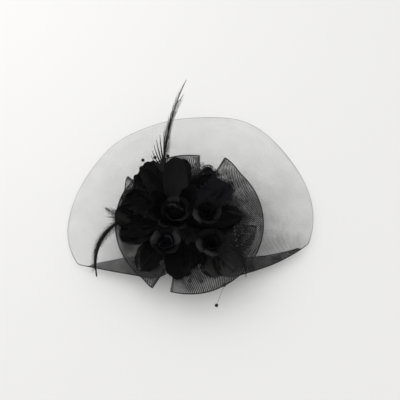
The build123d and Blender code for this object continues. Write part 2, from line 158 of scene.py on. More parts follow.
class Skin:
    """The surface of a CAD node, to lay cloth along."""

    def __init__(self, node):
        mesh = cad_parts[node].data
        self.tree = BVHTree.FromPolygons(
            [v.co[:] for v in mesh.vertices], [tuple(p.vertices) for p in mesh.polygons]
        )

    def top(self, x, y):
        hit = self.tree.ray_cast(Vector((x, y, 1)), -UP)[0]
        return hit.z if hit else None

    def thickness(self, x, y):
        under = self.tree.ray_cast(Vector((x, y, -1)), UP)[0]
        return self.top(x, y) - under.z if under else 0

    def height(self, x, y):
        """The height of the top face, or of its nearest point where there is none above."""
        z = self.top(x, y)
        return self.tree.find_nearest(Vector((x, y, 0)))[0].z if z is None else z

    def reach(self, angle):
        """How far from the Z axis the surface goes in that direction."""
        inside, outside = 0.045, 0.3
        for _ in range(22):
            r = (inside + outside) / 2
            if self.top(r * cos(angle), r * sin(angle)) is None:
                outside = r
            else:
                inside = r
        return inside


# ---------- building shapes


class Shape:
    """Gathers the points, faces and cloth coordinates of one piece."""

    def __init__(self):
        self.points, self.cloth, self.thread_density = [], [], []
        self.faces, self.slots = [], []

    def grid(self, rows, slot=0, wrap=False, caps=0):
        """rows holds equally long rows of (point, (u, v)) or (point, (u, v), gather).

        caps, 1 or -1, closes the first and the last row with faces that look one way or the other."""
        first, width = len(self.points), len(rows[0])
        for row in rows:
            for point, cloth, *thread_density in row:
                self.points.append(tuple(point))
                self.cloth.append(cloth)
                self.thread_density.append(thread_density[0] if thread_density else 1.0)
        for i in range(len(rows) - 1):
            for j in range(width if wrap else width - 1):
                a, b = first + i * width + j, first + i * width + (j + 1) % width
                self.faces.append((a, b, b + width, a + width))
                self.slots.append(slot)
        if caps:
            last = len(self.points) - width
            self.faces.append(tuple(range(first, first + width))[::caps])
            self.faces.append(tuple(range(last, last + width))[::-caps])
            self.slots += [slot, slot]

    def surface(self, us, vs, point, slot=0, **closing):
        """A grid of the points that a function gives for each pair of a u and a v."""
        self.grid([[point(u, v) for v in vs] for u in us], slot, **closing)

    def tube(self, line, radius, sides=7, closed=False):
        """A tube along a line of points; radius is a number or a function of the share of the way."""
        line = [Vector(p) for p in line]
        count, side, rows, run = len(line), None, [], 0.0
        for i, point in enumerate(line):
            after = line[(i + 1) % count] if closed else line[min(i + 1, count - 1)]
            before = line[i - 1] if closed or i else point
            ahead = (after - before).normalized()
            if side is None:
                side = ahead.orthogonal().normalized()
            side = (side - ahead * side.dot(ahead)).normalized()
            over = ahead.cross(side)
            r = radius(i / (count - 1)) if callable(radius) else radius
            run += (point - line[i - 1]).length if i else 0
            ring = [(point + r * (cos(a) * side + sin(a) * over), (run, a * r)) for a in turns(sides)]
            rows.append(ring)
        if closed:
            rows.append(rows[0])
        self.grid(rows, wrap=True, caps=0 if closed else -1)

    def ball(self, centre, radius, rings=9, sides=14, slot=0):
        def point(i, k):
            polar, a = pi * min(max(i / rings, 0.015), 0.985), tau * (k + 0.5 * (i % 2)) / sides
            out = (sin(polar) * cos(a), sin(polar) * sin(a), cos(polar))
            return Vector(centre) + radius * Vector(out), (a * radius, polar * radius)

        self.surface(range(rings + 1), range(sides), point, slot, wrap=True, caps=1)

    def make(self, name, materials, nodes, slot, thick=0.0, smooth=True):
        """The finished piece, fastened to the root body. It stands for those CAD nodes, or is an extra
        piece where nodes is None. slot is not used, and thick its thickness in mm."""
        mesh = bpy.data.meshes.new(name)
        mesh.from_pydata(self.points, [], self.faces)
        for material in materials:
            mesh.materials.append(material)
        mesh.polygons.foreach_set("material_index", self.slots)
        mesh.polygons.foreach_set("use_smooth", [smooth] * len(self.faces))
        layer = mesh.uv_layers.new(name="cloth")
        corners = np.empty(len(mesh.loops), int)
        mesh.loops.foreach_get("vertex_index", corners)
        layer.data.foreach_set("uv", np.array(self.cloth)[corners].ravel())
        attribute = mesh.attributes.new("thread_density", "FLOAT", "POINT")
        attribute.data.foreach_set("value", self.thread_density)
        mesh.update()
        piece = put(name, mesh)
        if thick:
            solid = piece.modifiers.new("thickness", "SOLIDIFY")
            solid.thickness, solid.offset = thick * MM, 0
        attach(piece, "root")
        if nodes is not None:
            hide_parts(*nodes)
        return piece


def turns(count):
    """Angles evenly round a circle."""
    return [tau * k / count for k in range(count)]


def shares(steps):
    """From 0 to 1 in even steps."""
    return [i / steps for i in range(steps + 1)]


def beside(centre, r, angle, z):
    """The place at a distance r from an upright line through centre, in that direction."""
    return centre.x + r * cos(angle), centre.y + r * sin(angle), z


def smooth(low, high, x):
    """0 at low and 1 at high, with a soft start and end; low may be the greater of the two."""
    t = min(max((x - low) / (high - low), 0.0), 1.0)
    return t * t * (3 - 2 * t)


def bell(x, top, at, spread):
    return top * exp(-(((x - at) / spread) ** 2))


def curve_points(root, mid, tip, count):
    """Points on the parabola from root to tip that passes through mid."""
    control = 2 * mid - (root + tip) / 2
    return [(1 - s) ** 2 * root + 2 * s * (1 - s) * control + s * s * tip for s in shares(count - 1)]


# ---------- materials


def rgba(colour):
    """A colour socket's value, from a shade of grey or from red, green and blue."""
    return (colour, colour, colour, 1) if isinstance(colour, float) else (*colour, 1)


class Nodes:
    """A node tree, and short ways to write its nodes."""

    def __init__(self, tree):
        self.tree = tree

    def feed(self, socket, value):
        """Links a socket to an output, or sets it to a constant."""
        if isinstance(value, bpy.types.NodeSocket):
            self.tree.links.new(value, socket)
        else:
            socket.default_value = value

    def add(self, kind, settings=None, **sockets):
        """A new node; the names of its sockets are written with _ for a space."""
        node = self.tree.nodes.new(kind)
        for key, value in (settings or {}).items():
            setattr(node, key, value)
        for name, value in sockets.items():
            self.feed(node.inputs[name.replace("_", " ")], value)
        return node

    def math(self, operation, *values):
        node = self.add("ShaderNodeMath", {"operation": operation})
        for socket, value in zip(node.inputs, values):
            self.feed(socket, value)
        return node.outputs[0]

    def vector(self, operation, a, b):
        node = self.add("ShaderNodeVectorMath", {"operation": operation})
        self.feed(node.inputs[0], a)
        self.feed(node.inputs[1], b)
        return node.outputs["Value" if operation == "DOT_PRODUCT" else 0]

    def ramp(self, value, low, high, to_low=0.0, to_high=1.0):
        ends = dict(From_Min=low, From_Max=high, To_Min=to_low, To_Max=to_high)
        soft_ends = {"interpolation_type": "SMOOTHSTEP"}
        return self.add("ShaderNodeMapRange", soft_ends, **ends, Value=value).outputs[0]


class Cloth(Nodes):
    """A material on one Principled BSDF, with nodes that work in the cloth's own coordinates."""

    def __init__(self, name, colour, roughness, **constants):
        self.material = bpy.data.materials.new(name)
        self.material.use_nodes = True
        super().__init__(self.material.node_tree)
        self.shader = self.tree.nodes["Principled BSDF"].inputs
        for socket, value in dict(Base_Color=rgba(colour), Roughness=roughness, **constants).items():
            self.feed(self.shader[socket.replace("_", " ")], value)

    def cloth(self):
        return self.add("ShaderNodeUVMap", {"uv_map": "cloth"}).outputs[0]

    def place(self):
        return self.add("ShaderNodeTexCoord").outputs["Object"]

    def noise(self, where, scale, detail=3.0, stretch=None):
        if stretch:
            where = self.vector("MULTIPLY", where, stretch)
        return self.add("ShaderNodeTexNoise", Scale=scale, Detail=detail, Vector=where).outputs[0]

    def threads(self, where, pitch, width, angle):
        """1 on threads that run at that angle, in degrees, in the cloth, and 0 between them."""
        angle = radians(angle)
        across = self.vector("DOT_PRODUCT", where, (-sin(angle) / pitch, cos(angle) / pitch, 0))
        away = self.math("ABSOLUTE", self.math("SUBTRACT", self.math("FRACT", across), 0.5))
        edge = self.math("MULTIPLY", width, 0.5 / pitch)
        inside, outside = (self.math("MULTIPLY", edge, share) for share in (0.6, 1.4))
        return self.ramp(away, inside, outside, 1.0, 0.0)

    def mesh_alpha(self, pitch, width, angles, film, patchy=0.25):
        """Threads drawn thicker where the cloth is denser, and a faint film between them. The density
        stands for real gathering, and on the net's right side also for painted shade.
        """
        where = self.cloth()
        thread_density = self.add("ShaderNodeAttribute", {"attribute_name": "thread_density"}).outputs["Fac"]
        uneven = self.ramp(self.noise(where, 55, 2), 0.3, 0.7, 1 - patchy, 1 + patchy)
        width = self.math("MULTIPLY", self.math("MULTIPLY", thread_density, width), uneven)
        cover = None
        for angle in angles:
            line = self.threads(where, pitch, width, angle)
            cover = line if cover is None else self.math("MAXIMUM", cover, line)
        self.feed(self.shader["Alpha"], self.math("MAXIMUM", cover, film))
        return cover

    def vary(self, factor, dark, light):
        ends = dict(A=rgba(dark), B=rgba(light))
        mix = self.add("ShaderNodeMix", {"data_type": "RGBA"}, Factor=factor, **ends)
        self.feed(self.shader["Base Color"], mix.outputs["Result"])

    def bump(self, height, depth):
        """A relief as deep as that many mm."""
        node = self.add("ShaderNodeBump", Strength=1.0, Distance=depth * MM, Height=height)
        self.feed(self.shader["Normal"], node.outputs[0])


def net(name, width, film):
    n = Cloth(name, 0.012, 0.6, Specular_IOR_Level=0.2)
    cover = n.mesh_alpha(1.5 * MM, width, (0, 60, 120), film)
    n.bump(cover, 0.05)
    return n.material


def braid(name, width, film, shade=0.008):
    n = Cloth(name, shade, 0.42, Specular_IOR_Level=0.25)
    cover = n.mesh_alpha(1.7 * MM, width, (42, -42), film, 0.3)
    n.bump(cover, 0.12)
    return n.material


def satin(name, dark=0.003, light=0.007, roughness=0.4, gloss=0.16, tint=(1, 1, 1.1)):
    low, high = ([shade * part for part in tint] for shade in (dark, light))
    n = Cloth(name, low, roughness, Specular_IOR_Level=gloss, Anisotropic=0.4)
    where = n.cloth()
    n.vary(n.ramp(n.noise(where, 45, 4), 0.35, 0.7), low, high)
    twill = n.threads(where, 0.32 * MM, 0.16 * MM, 35)
    creases = n.noise(where, 150, 3, (1, 3.5, 1))
    n.bump(n.math("ADD", n.math("MULTIPLY", twill, 0.12), creases), 0.6)
    return n.material


def velvet_material():
    n = Cloth("velvet", 0.0012, 0.7, Specular_IOR_Level=0.07, Sheen_Weight=0.02, Sheen_Roughness=0.4)
    where = n.cloth()
    worn = n.ramp(n.noise(where, 90, 4), 0.45, 0.75)
    n.vary(worn, 0.0012, (0.0042, 0.0048, 0.00456))
    pile = n.noise(where, 2600, 2)
    veins = n.noise(where, 160, 3, (0.35, 4, 1))
    n.bump(n.math("ADD", n.math("MULTIPLY", pile, 0.35), n.math("MULTIPLY", veins, 1.6)), 0.8)
    return n.material


def organza_material():
    n = Cloth("organza", (0.0065, 0.006, 0.0045), 0.45, Specular_IOR_Level=0.1)
    cover = n.mesh_alpha(0.8 * MM, 0.3 * MM, (0, 90), 0.55)
    n.bump(n.math("ADD", cover, n.noise(n.cloth(), 220, 2)), 0.15)
    return n.material


def feather_material():
    n = Cloth("feather", 0.004, 0.5, Specular_IOR_Level=0.1, Anisotropic=0.5)
    where = n.cloth()
    n.vary(n.noise(where, 70, 3), 0.002, (0.008, 0.008, 0.007))
    n.bump(n.noise(where, 900, 2, (1, 6, 1)), 0.05)
    return n.material


def cord_material():
    n = Cloth("cord", 0.005, 0.5, Specular_IOR_Level=0.2)
    ply = n.threads(n.cloth(), 1.1 * MM, 0.7 * MM, 50)
    n.vary(ply, 0.003, 0.009)
    n.bump(ply, 0.15)
    return n.material


def felt_material():
    n = Cloth("felt", 0.02, 0.95, Specular_IOR_Level=0.1, Sheen_Weight=0.1, Sheen_Roughness=0.5)
    where = n.place()
    fuzz = n.noise(where, 1900, 4)
    n.vary(n.noise(where, 260, 4), 0.006, (0.02, 0.02, 0.021))
    n.bump(n.math("ADD", fuzz, n.noise(where, 350, 2)), 0.4)
    return n.material


def sinamay_material():
    n = Cloth("sinamay", 0.02, 0.6, Specular_IOR_Level=0.25)
    where = n.cloth()
    over, under = (n.threads(where, 1.0 * MM, 0.6 * MM, angle) for angle in (0, 90))
    weave = n.math("ADD", over, under)
    n.vary(weave, 0.004, (0.02, 0.019, 0.018))
    n.bump(weave, 0.3)
    return n.material


def bead_material():
    n = Cloth("bead", 0.003, 0.12, Specular_IOR_Level=0.35)
    n.feed(n.shader["Roughness"], n.ramp(n.noise(n.place(), 900, 2), 0.3, 0.7, 0.07, 0.2))
    n.bump(n.noise(n.place(), 500, 1), 0.05)
    return n.material


def pearl_material():
    n = Cloth("pearl", 0.1, 0.2, Specular_IOR_Level=0.6, Coat_Weight=0.4)
    n.vary(n.noise(n.place(), 700, 2), (0.05, 0.05, 0.052), 0.2)
    return n.material


def metal(name, shade, low, high, brushed):
    n = Cloth(name, (shade, shade, shade * 0.98), low, Metallic=1.0)
    streaks = n.noise(n.place(), 300, 3, brushed)
    n.feed(n.shader["Roughness"], n.ramp(streaks, 0.3, 0.7, low, high))
    n.vary(n.noise(n.place(), 120, 3), shade * 0.8, shade * 1.1)
    n.bump(streaks, 0.03)
    return n.material


# ---------- base and hardware


def domed_disc(node, material, slot, edge_wave):
    """A round layer of cloth with a soft rounded edge, following its CAD disc."""
    rng, shape, skin, radius, sides = random.Random(node), Shape(), Skin(node), half_width(node), 160
    thick = skin.thickness(0, 0)
    profile = [(0.02, 1), (0.3, 1), (0.6, 1), (0.85, 1), (0.965, 1), (0.99, 0.85), (1, 0.5)]
    profile += [(share, 1 - level) for share, level in reversed(profile[:-1])]
    edge = [rng.uniform(-edge_wave, 0) for _ in range(sides)]

    def point(share, level, a, wave):
        r = share * (radius + wave * smooth(0.8, 1, share))
        x, y = r * cos(a), r * sin(a)
        return (x, y, skin.height(0.985 * x, 0.985 * y) - thick * (1 - level)), (x, y)

    rows = [[point(*ring, a, wave) for a, wave in zip(turns(sides), edge)] for ring in profile]
    shape.grid(rows, wrap=True, caps=1)
    shape.make(f"{node}_cloth", [material], [node], slot)


def make_stitches(material):
    """Whip stitches that hold the felt to the base, seen from behind."""
    radius, skin, shape = half_width("felt_backing"), Skin("felt_backing"), Shape()
    count, rng, thick = 66, random.Random(4), skin.thickness(0, 0)
    for k in range(count):
        a = tau * (k + rng.uniform(-0.15, 0.15)) / count
        b = a + 0.035
        line = []
        for share, angle in ((0.93, a), (0.96, a), (1.0, (a + b) / 2), (1.025, b)):
            below = 0.25 if share < 1.02 else -0.3
            x, y = radius * share * cos(angle), radius * share * sin(angle)
            line.append((x, y, skin.height(0.95 * x, 0.95 * y) - thick - below * MM))
        shape.tube(line, 0.22 * MM, 5)
    shape.make("felt_stitches", [material], None, "felt")


def make_binding(material):
    """A folded strip that covers the edge of the stiff base."""
    radius, z, shape = half_width("base_disc") - 0.6 * MM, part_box("base_disc")[0][2] + 0.9 * MM, Shape()
    shape.tube([beside(AXIS, radius, a, z) for a in turns(180)], 1.3 * MM, 10, closed=True)
    shape.make("base_binding", [material], None, "buckram")


def finish_hardware():
    brushed = metal("clip_steel", 0.6, 0.22, 0.4, (0.2, 3, 3))
    polished = metal("pin_steel", 0.68, 0.14, 0.26, (3, 3, 3))
    for node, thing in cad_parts.items():
        if node.startswith(("clip_", "brooch_")):
            thing.data.materials.clear()
            thing.data.materials.append(brushed if node.startswith("clip_") else polished)


# ---------- net brim


def make_veil(net_single, net_doubled, cord):
    """The net, its lower part that is folded under, and the rolled hem along the edges of both."""
    skin, shape, hem = Skin("veil"), Shape(), Shape()
    around, inner, cloth_radius, drop = 360, 15 * MM, 120 * MM, 1.5 * MM
    single = skin.thickness(0.03, 0.06)  # at a place where the net isn't folded
    rim, rows, fold = [], [], []

    def lift(angle, share):
        """Soft folds in the net, mostly at its upper right, and a light ripple all round."""
        swell = bell(angle, 2.6, radians(38), 0.75) * sin(7 * angle + 0.6) + 0.7 * sin(11 * angle + 2)
        swell += 1.2 * noise.noise(Vector((3 * cos(angle), 3 * sin(angle), 2 * share)))
        return swell * MM * smooth(0.2, 0.9, share)

    for angle in turns(around):
        c, s = cos(angle), sin(angle)
        reach = skin.reach(angle) - 0.1 * MM
        # The threads are drawn thicker at the right and lower right of the net: partly the net bunching
        # there, partly painted shade where shadow falls under it.
        bunched_and_shaded = 1 + bell(angle, 2.6, 6.05, 0.45) + bell(angle, 1.2, 0.1, 0.6)
        row = []
        for share in shares(34):
            r = inner + (reach - inner) * share
            z = max(skin.height(r * c, r * s) + lift(angle, share), FLOOR + 0.6 * MM)
            thread_density = min(bunched_and_shaded * cloth_radius / r, 4)
            row.append(((r * c, r * s, z), (angle * cloth_radius, r), thread_density))
        rows.append(row)
        rim.append(Vector(row[-1][0]))

        depths = [0.5 * MM * i for i in range(1, 66)]
        folded = [d for d in depths if skin.thickness((reach - d) * c, (reach - d) * s) > 1.5 * single]
        width = max(folded, default=0)
        bend = [pi * share for share in shares(4)]
        path = [(reach + drop * sin(a) * 0.6, rim[-1].z - drop * (1 - cos(a)) / 2) for a in bend]
        for inward in shares(8)[1:]:
            r = reach - width * inward
            droop = (1.0 + 1.2 * sin(pi * inward)) * MM
            z = skin.height(r * c, r * s) + lift(angle, (r - inner) / (reach - inner))
            path.append((r, max(z - drop - droop * inward, FLOOR + 0.3 * MM)))
        fold.append((width, angle, path))

    shape.grid(rows + [[(p, (tau * cloth_radius, c[1]), g) for p, c, g in rows[0]]])
    lower = radians(190.5)  # from here on the hem is heavier, and heaviest where the net is folded
    thick = [(0.6 if width else 0.28 if a > lower else 0.17) * MM for width, a, _ in fold]
    even = [sum(thick[(k + j) % around] for j in range(-4, 5)) / 9 for k in range(around)]
    rim = [point - 0.2 * MM * UP for point in rim]
    hem.tube(rim, lambda share: even[round(share * (around - 1))], closed=True)
    folded = [k for k in range(around) if fold[k][0]]
    for run in np.split(folded, np.flatnonzero(np.diff(folded) > 1) + 1):
        if len(run) < 6:
            continue
        strip = []
        for _, angle, path in (fold[k] for k in run):
            u, thread_density = angle * cloth_radius, 1.25 + 0.75 * smooth(-0.3, 0.6, cos(angle))
            strip.append([(beside(AXIS, r, angle, z), (u, r), thread_density) for r, z in path])
        shape.grid(strip, slot=1)
        hem.tube([row[-1][0] for row in strip], 0.35 * MM, 6)

    veil = shape.make("veil_net", [net_single, net_doubled], ["veil"], "net")
    hem = hem.make("veil_rolled_hem", [cord], ["veil_hem"], "hem")


# ---------- crin


GATHERS = 56  # folds round the drawn-up inner edge of a full ring


def ring_middle():
    return middle("crin_edge_cords")


def arc_of(angles):
    """Start and size of the arc that a set of angles covers, leaving out their widest gap."""
    angles = np.sort(np.mod(angles, tau))
    gaps = np.diff(np.append(angles, angles[0] + tau))
    start = angles[(np.argmax(gaps) + 1) % len(angles)]
    return start, tau - gaps.max()


def crin_lie(node):
    """Outer and inner radius of a braid piece, and the arc that each covers."""
    points, centre = points_of(node), ring_middle()
    x, y = points[:, 0] - centre.x, points[:, 1] - centre.y
    away, angle = np.hypot(x, y), np.arctan2(y, x)
    outer, inner = away.max(), away.min()
    wide = arc_of(angle[away > outer - 0.3 * MM])
    narrow = arc_of(angle[away < inner + 0.3 * MM])
    return outer, inner, wide, narrow


def crin_ripple(x, y, share):
    """The same gentle waves for every layer, so that the layers keep clear of each other."""
    return (0.9 * noise.noise(Vector((26 * x, 26 * y, 0))) + 0.5 * sin(60 * x + 35 * y)) * MM * share


def make_crin(node, materials, pleats=0, pleat_height=0.0, flares=(0, 0)):
    """A length of braid drawn up into part of a ring, with a hem turned over at each cut end.

    flares widens it at its two ends. The result is its outer edge and its two cut ends, as lines."""
    centre, skin, shape = ring_middle(), Skin(node), Shape()
    outer, inner, (start, size), (inner_start, inner_size) = crin_lie(node)
    if inner_start - start > pi:
        inner_start -= tau
    if start - inner_start > pi:
        inner_start += tau

    def point(u, v, raised=0.0):
        a, b = start + size * u, inner_start + inner_size * u
        flare = flares[0] * smooth(0.12, 0, u) + flares[1] * smooth(0.88, 1, u)
        ruled = Vector([(1 - v) * inner * way(b) + v * outer * way(a) for way in (cos, sin)])
        r, turn = inner + (outer - inner) * v, b + (a - b) * v**0.8
        curved = r * Vector((cos(turn), sin(turn)))
        out = ruled.lerp(curved, min(10 * min(u, 1 - u), 1)) * (1 + flare * v / outer)
        x, y = centre.x + out.x, centre.y + out.y
        z = skin.height(x, y) + crin_ripple(x, y, v)
        z += 0.7 * MM * (1 - v) ** 2 * sin(GATHERS * turn)
        if pleats:
            wave = abs(((u * pleats) % 1) * 2 - 1)
            z += pleat_height * wave * (0.35 + 0.65 * v)
        return (x, y, z + raised), (outer * a, out.length), min(outer / max(out.length, inner), 2.2)

    across, turned = shares(30), 3.2 * MM / (size * outer)
    columns = pleats * 10 if pleats else int(6 * GATHERS * inner_size / tau)
    shape.surface(shares(columns), across, point)
    for end in (0, 1):
        inwards = [abs(end - turned * k / 3) for k in range(4)]
        shape.surface(inwards, across, lambda u, v: point(u, v, 0.35 * MM), slot=1)
    piece = shape.make(f"{node}_braid", materials, [node], "crin")
    ends = [[point(end, v, 0.2 * MM)[0] for v in shares(20)] for end in (0, 1)]
    return [point(u, 1)[0] for u in shares(120)], *ends


# ---------- petals


class Petal:
    """A cloth petal, bent along its length and cupped across it.

    bend is how far it turns upwards from root to tip and cup how far its sides do, in radians. In mm,
    lip is how far its rim rolls back, ruffle the height of the rim's waves, and scallop, rib and crumple
    the depth of its lobes, its pleats and its small uneven folds. base is the width at the root as a
    share of the whole, widest the place of its full width, and sharp the higher the narrower its tip."""

    def __init__(
        self, root, tip, width, bend=0.3, cup=0.6, lip=0.0, ruffle=0.0, scallops=0, scallop=0.0,
        ribs=0, rib=0.0, crumple=0.7, base=0.3, widest=0.6, sharp=0.5, seed=0,
    ):
        rng = random.Random(seed)
        chord = tip - root
        run = Vector((chord.x, chord.y, 0))
        self.root, self.out, self.bend = root, run.normalized(), bend
        self.side = UP.cross(self.out)
        self.start = atan2(chord.z, run.length) - bend / 2
        self.length = chord.length * (bend / 2) / sin(bend / 2)
        self.half, self.round_off = width / 2, width / 2 / cup
        self.lip, self.ruffle, self.crumple = lip * MM, ruffle * MM, crumple * MM
        self.scallops, self.scallop, self.ribs, self.rib = scallops, scallop * MM, ribs, rib * MM
        self.base, self.widest, self.sharp = base, widest, sharp
        self.phase = [rng.uniform(0, tau) for _ in range(4)]
        self.shift = 3 * MM * seed

    def outline(self, s):
        """Half the width at a share s of the way from root to tip."""
        if s < self.widest:
            return self.half * (self.base + (1 - self.base) * sin(pi / 2 * s / self.widest))
        beyond = pi / 2 * (s - self.widest) / (1 - self.widest)
        return self.half * max(cos(beyond), 0.002) ** self.sharp

    def at(self, s, t):
        """The point at a share s of the way from root to tip, and at t, from -1 to 1, across."""
        along, across = s * self.length, t * self.outline(s)
        rim = max(smooth(0.55, 1, abs(t)) * smooth(0.1, 0.5, s), smooth(0.8, 1, s))
        if self.scallops:
            turn = atan2(across, along - 0.45 * self.length)
            swing = rim * self.scallop * (abs(sin(self.scallops * turn + self.phase[3])) - 0.7)
            along, across = along + swing * cos(turn), across + swing * sin(turn)
        pitch = self.start + self.bend * along / self.length
        radius = self.length / self.bend
        place = self.root + self.out * radius * (sin(pitch) - sin(self.start))
        place += UP * radius * (cos(self.start) - cos(pitch))
        face = UP * cos(pitch) - self.out * sin(pitch)
        lean = across / self.round_off
        wave = sin(9 * s + self.phase[0] + 2 * t) * t * t + sin(5 * t + self.phase[1]) * s**3
        wave += 0.5 * sin(17 * s + self.phase[2]) * abs(t) ** 3
        pleat = self.rib * cos(self.ribs * pi * t) * smooth(0, 0.3, s) if self.ribs else 0
        groove = bell(t, 0.3 * MM, 0, 0.1) * (1 - s * s)
        side_curl = 0.6 * smooth(0.6, 1, abs(t)) * smooth(0.3, 0.7, s)
        curl = self.lip * max(smooth(0.62, 1, s), side_curl) ** 2
        spot = Vector((along, 1.4 * across, self.shift)) / (7 * MM)
        bumps = self.crumple * noise.noise(spot) * smooth(0, 0.3, s)
        lift = self.round_off * (1 - cos(lean)) + self.ruffle * wave + pleat + bumps - groove - curl
        return place + self.side * self.round_off * sin(lean) + face * lift

    def point(self, s, t):
        return self.at(s, t), (s * self.length, t * self.outline(s) + self.shift)

    def area(self):
        steps = [(i + 0.5) / 40 for i in range(40)]
        return sum(2 * self.outline(s) * self.length / 40 for s in steps)

    def rim(self, share):
        """A point on the rim and the way outwards there, from -1 at one side over the tip to 1."""
        s = cos(pi / 2 * abs(share) ** 1.4)
        point = self.at(s, copysign(0.98, share))
        return point, (point - self.at(0.5, 0)).normalized()


def sheet_petal(name, petal, material, slot, nodes=()):
    """A petal as a piece of its own. The flat size of its cloth is worked out but not used."""
    shape, lengthwise = Shape(), [sin(pi / 2 * share) for share in shares(30)]
    shape.surface(lengthwise, [2 * share - 1 for share in shares(20)], petal.point)
    piece = shape.make(name, [material], nodes, slot, thick=0.25)
    width, length = max(2 * petal.half, 10 * MM), petal.length
    area = min(max(petal.area(), 0.35 * width * length), width * length)


def cup_petal(shape, centre, facing, span, radii, heights, lip, seed, slot=0, spiral=0.8 * MM):
    """A petal that stands round the middle of a rose and rolls its top edge outwards.

    spiral is how much further out one side of it stands than the other."""
    rng, (inner, outer), (bottom, top) = random.Random(seed), radii, heights
    phase = [rng.uniform(0, 6) for _ in range(3)]
    peak = rng.uniform(-0.35, 0.35)

    def point(v, u):
        rise = v * (1 - 0.28 * abs(u - peak) ** 2)
        angle = facing + span / 2 * u * (0.5 + 0.5 * smooth(0, 0.7, v))
        r = inner + (outer - inner) * v**1.3 + spiral * u
        r += (0.5 * v * v * sin(4 * u + phase[0]) + 0.22 * v * sin(13 * u + phase[2])) * MM
        curl = smooth(0.58, 1, v) * (0.7 + 0.3 * cos(2.4 * (u - peak)))
        r += lip * sin(0.5 * pi * curl)
        z = bottom + (top - bottom) * rise + 0.5 * MM * v * sin(3 * u + phase[1])
        z -= 0.8 * lip * curl**3
        place = beside(centre, r, angle, z)
        return place, (angle * outer + 3 * MM * seed, rise * (top - bottom))

    upwards = [sin(pi / 2 * share) for share in shares(20)]
    shape.surface(upwards, [2 * share - 1 for share in shares(22)], point, slot)


def ruffle(shape, centre, radius, arc, heights, waves, depth, seed):
    """A gathered strip of cloth on edge, in waves along part of a circle."""
    rng, (start, size), (bottom, top) = random.Random(seed), arc, heights
    phase = [rng.uniform(0, 6) for _ in range(3)]

    def point(share, level):
        angle = start + size * share
        fold = sin(tau * waves * share + 0.8 * sin(5 * share + phase[0]))
        rise = (top - bottom) * (1 + 0.1 * sin(7 * share + phase[1]))
        r = radius + depth * fold * (0.4 + 0.9 * level) + 0.6 * depth * level * level
        z = bottom + rise * level - 0.4 * depth * fold * level
        return beside(centre, r, angle, z), (angle * radius, rise * level)

    shape.surface(shares(14 * waves), shares(8), point)


def rolled_bud(shape, centre, bottom, top, radius, windings, flare, seed):
    """A strip of cloth rolled into a bud, its top edge opening outwards and dipping here and there."""
    phase = random.Random(seed).uniform(0, 6)

    def point(share, level):
        angle = tau * windings * share + phase
        r = radius * (0.12 + 0.88 * share**0.85)
        height = (top - bottom) * (1 - 0.22 * share + 0.05 * sin(3.3 * angle))
        belly = 0.72 + 0.28 * sin(pi * (0.15 + 0.6 * level))
        open_out = flare * smooth(0.6, 1, level) * (0.3 + 0.7 * share)
        z = bottom + height * level - 0.5 * open_out * smooth(0.85, 1, level)
        return beside(centre, r * belly + open_out, angle, z), (r * angle, height * level)

    shape.surface(shares(int(44 * windings)), shares(12), point)


def fray(shape, petal, count, length, seed):
    """Loose threads along the rim of a petal."""
    rng = random.Random(seed)
    for _ in range(count):
        point, outwards = petal.rim(rng.uniform(-1, 1))
        way = outwards + 0.5 * petal.side * rng.uniform(-1, 1) + 0.3 * UP * rng.uniform(-1, 1)
        way.normalize()
        reach = length * rng.uniform(0.4, 1)
        bent = point + way * reach * 0.5 + UP * rng.uniform(-0.4, 0.4) * MM
        shape.tube(curve_points(point - way * MM, bent, point + way * reach, 5), 0.09 * MM, 4)


def trim_with_lace(shape, petal, count, seed):
    """Small loops and pearls along the rim of a petal."""
    rng = random.Random(seed)
    for k in range(count):
        point, outwards = petal.rim(2 * (k + 0.5) / count - 1)
        size = rng.uniform(1.0, 2.0) * MM
        across = UP.cross(outwards).normalized()
        mid = point + outwards * size * 0.8
        loop = [mid + size * (cos(a) * outwards + sin(a) * across) for a in turns(10)]
        shape.tube(loop, 0.4 * MM, 5, closed=True)
        if rng.random() < 0.5:
            shape.ball(point + outwards * size * 1.9, rng.uniform(0.6, 1.0) * MM, 6, 9, slot=1)


# how each outer petal differs from a plain one
OUTER_STYLES = {
    1: dict(ruffle=1.6, lip=0.8, scallops=3, scallop=1.2, sharp=0.35),
    2: dict(ruffle=1.0, lip=1.5, cup=0.6, sharp=0.38),
    3: dict(scallops=5, scallop=2.2, ruffle=1.2, sharp=0.32),
    4: dict(cup=0.8, ruffle=0.6, sharp=0.4, scallops=7, scallop=1.4),
    5: dict(ruffle=1.2, scallops=9, scallop=2.2, sharp=0.35),
    6: dict(ribs=6, rib=0.6, ruffle=1.4, scallops=11, scallop=2.0, sharp=0.3, widest=0.7),
    7: dict(ribs=5, rib=0.6, scallops=4, scallop=2.0, ruffle=1.0, sharp=0.32),
    8: dict(scallops=6, scallop=2.6, ruffle=1.8, sharp=0.32),
    9: dict(scallops=3, scallop=1.6, ruffle=1.8, ribs=3, rib=0.5, sharp=0.28, widest=0.7),
    10: dict(scallops=4, scallop=1.8, ruffle=2.0, sharp=0.28, widest=0.68),
}


# outer petals narrower than the others: their width as a share of the CAD petal's, and their turn
NARROW = {3: (1.05, -0.05), 4: (1.0, 0.05)}


def widened(node, centre, wider, turn=0.0, longer=1.0, drop=0.0):
    """Root, tip and width of a node's petal, scaled, turned round the flower and lowered by drop mm."""
    root, tip, width = petal_lie(points_of(node), centre)
    pivot = Vector((centre.x, centre.y, 0))

    def turned(p):
        away = p - pivot
        c, s = cos(turn), sin(turn)
        return pivot + Vector((c * away.x - s * away.y, s * away.x + c * away.y, away.z - drop * MM))

    return turned(root), turned(root + (tip - root) * longer), width * wider


